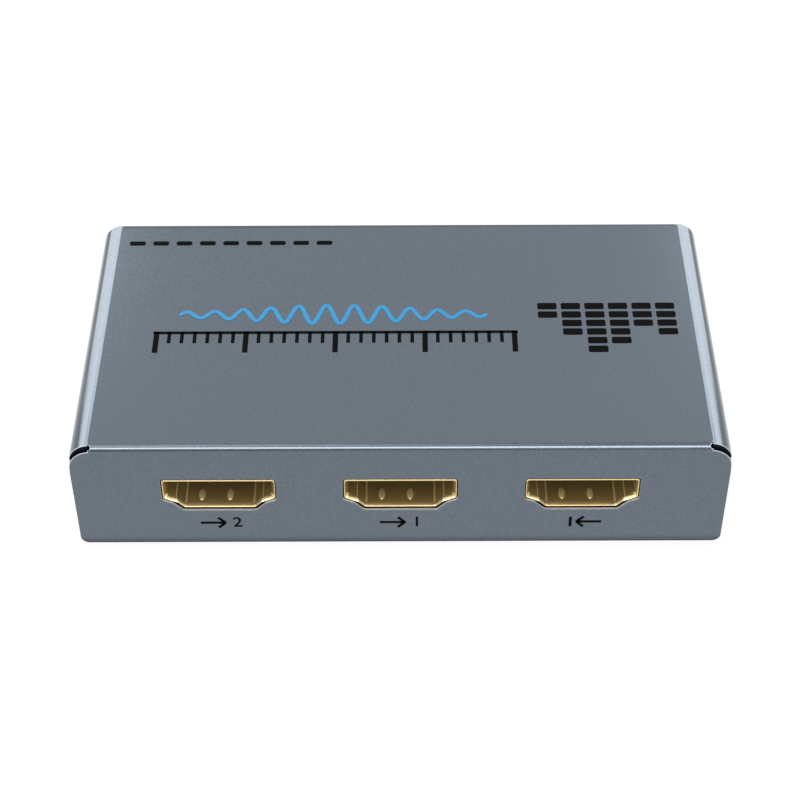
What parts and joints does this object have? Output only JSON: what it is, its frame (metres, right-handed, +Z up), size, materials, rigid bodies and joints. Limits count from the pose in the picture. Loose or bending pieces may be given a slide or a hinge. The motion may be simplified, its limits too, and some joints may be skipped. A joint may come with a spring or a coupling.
{
  "type": "audio extractor",
  "caption": "Flat folded-steel box with video sockets in one long face and optical, sound, switch and power fittings in the other; splits a video signal and takes its sound out.",
  "frame": {"origin": "under the middle of the box, on the surface that it stands on", "axes": "+X to the right seen from the video sockets, +Y towards the sound and power side, +Z up"},
  "size_m": [0.087, 0.0476, 0.0198],
  "materials": {
    "case_paint": "fine-grained satin metallic paint",
    "plate_paint": "satin paint",
    "zinc_steel": "zinc plated",
    "gold_plate": "gold-coloured plating, polished",
    "tin_plate": "tin plated",
    "black_plastic": "moulded",
    "socket_plastic": "moulded, dark",
    "foot_rubber": "matt",
    "board_laminate": "solder mask over glass laminate",
    "chip_resin": "moulded epoxy",
    "pad_silicone": "soft silicone pad",
    "sink_aluminium": "extruded",
    "can_aluminium": "drawn",
    "laminated_board": "resin-bonded paper",
    "ceramic": "fired",
    "ferrite": "pressed",
    "emitter_resin": "clear red epoxy",
    "lamp_resin": "clear epoxy"
  },
  "bodies": {
    "case": {"top_cover": "case_paint", "bottom_plate": "plate_paint", "cover_nuts": "zinc_steel", "cover_screws": "zinc_steel", "rubber_feet": "foot_rubber", "board_standoffs": "zinc_steel", "board_screws": "zinc_steel", "main_board": "board_laminate", "left_output_shell": "gold_plate", "left_output_insulator": "socket_plastic", "left_output_contacts": "gold_plate", "middle_output_shell": "gold_plate", "middle_output_insulator": "socket_plastic", "middle_output_contacts": "gold_plate", "input_shell": "gold_plate", "input_insulator": "socket_plastic", "input_contacts": "gold_plate", "optical_housing": "black_plastic", "optical_shutter_pin": "zinc_steel", "optical_shutter_spring": "zinc_steel", "optical_emitter": "emitter_resin", "optical_rear_cover": "black_plastic", "optical_leads": "tin_plate", "sound_jack_body": "black_plastic", "sound_jack_ferrule": "tin_plate", "sound_jack_contacts": "tin_plate", "power_socket_body": "black_plastic", "power_socket_pin": "tin_plate", "power_socket_spring": "tin_plate", "mode_switch_frame": "zinc_steel", "mode_switch_base": "laminated_board", "mode_switch_terminals": "tin_plate", "power_light": "lamp_resin", "power_light_leads": "tin_plate", "splitter_chip": "chip_resin", "thermal_pad": "pad_silicone", "heat_sink": "sink_aluminium", "sound_chip": "chip_resin", "sound_chip_leads": "tin_plate", "controller_chip": "chip_resin", "controller_leads": "tin_plate", "power_regulator": "chip_resin", "power_inductors": "ferrite", "capacitor_cans": "can_aluminium", "capacitor_bases": "black_plastic", "ceramic_capacitors": "ceramic", "chip_resistors": "chip_resin", "clock_crystal": "tin_plate", "surge_arrays": "chip_resin"},
    "shutter": {"optical_shutter": "black_plastic"},
    "mode_knob": {"mode_switch_knob": "black_plastic", "mode_switch_wiper": "tin_plate"}
  },
  "joints": [
    {"name": "shutter_hinge", "type": "hinge", "parent": "case", "child": "shutter", "pos_m": [-0.01175, 0.02088, 0.01693], "axis": [-1, 0, 0], "range_deg": [0, 88], "stiffness_Nm_per_rad": 0.0003, "springref_deg": -34.38, "deforming": ["optical_shutter_spring"]},
    {"name": "mode_slide", "type": "slide", "parent": "case", "child": "mode_knob", "axis": [1, 0, 0], "range_m": [-0.002, 0.002]}
  ]
}
